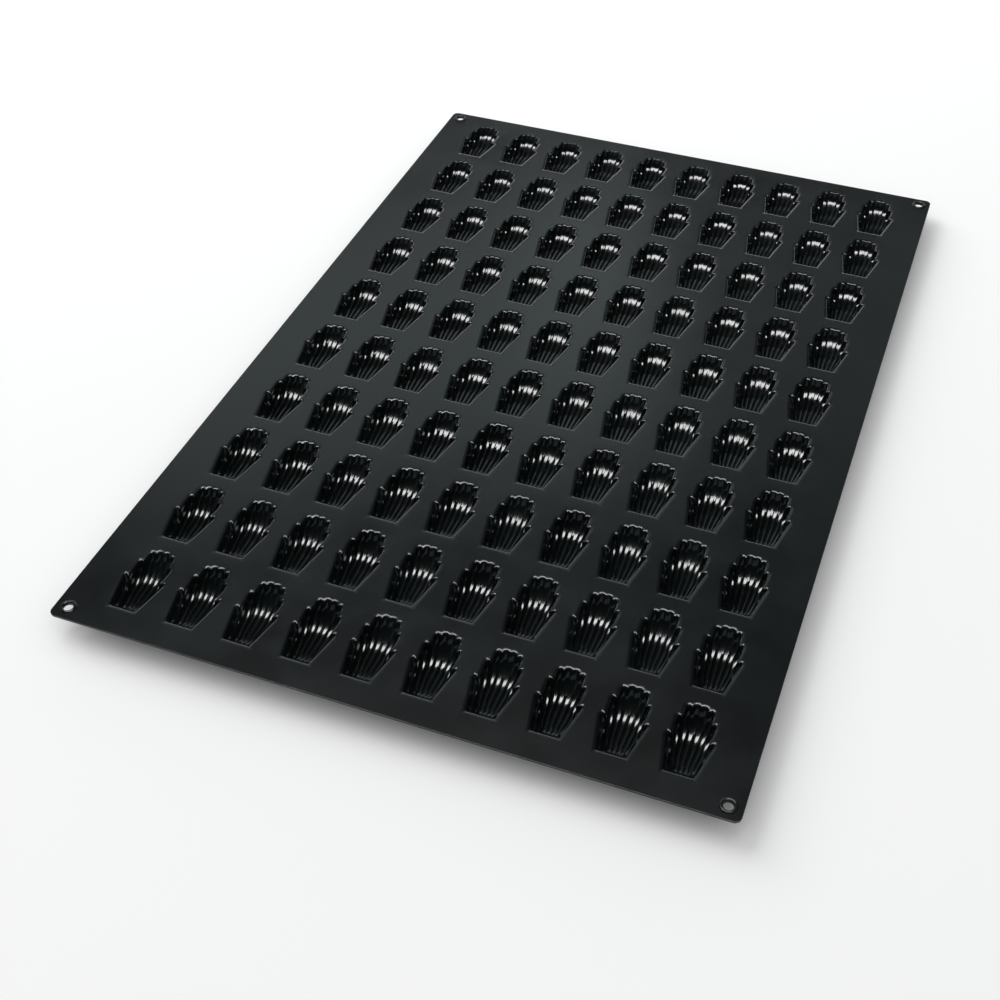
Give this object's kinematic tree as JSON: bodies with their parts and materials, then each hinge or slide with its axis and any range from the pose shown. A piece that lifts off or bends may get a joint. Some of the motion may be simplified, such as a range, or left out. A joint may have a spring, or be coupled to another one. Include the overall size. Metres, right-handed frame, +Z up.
{
  "type": "madeleine pan",
  "caption": "Flat flexible baking sheet with a grid of shallow fluted shell-shaped cavities and a small hole in each corner.",
  "frame": {"origin": "middle of the sheet's footprint, on the surface that the cups stand on", "axes": "+X along a row of cavities, +Y from the narrow ends of the cavities towards their fans, along the sheet's long side, +Z up"},
  "size_m": [0.4, 0.6, 0.0133],
  "materials": {
    "silicone": "satin"
  },
  "bodies": {
    "root": {"left_border": "silicone", "right_border": "silicone", "front_border": "silicone", "back_border": "silicone", "row_1_odd_cavities": "silicone", "row_1_even_cavities": "silicone", "row_2_odd_cavities": "silicone", "row_2_even_cavities": "silicone", "row_3_odd_cavities": "silicone", "row_3_even_cavities": "silicone", "row_4_odd_cavities": "silicone", "row_4_even_cavities": "silicone", "row_5_odd_cavities": "silicone", "row_5_even_cavities": "silicone", "row_6_odd_cavities": "silicone", "row_6_even_cavities": "silicone", "row_7_odd_cavities": "silicone", "row_7_even_cavities": "silicone", "row_8_odd_cavities": "silicone", "row_8_even_cavities": "silicone", "row_9_odd_cavities": "silicone", "row_9_even_cavities": "silicone", "row_10_odd_cavities": "silicone", "row_10_even_cavities": "silicone"}
  },
  "joints": []
}
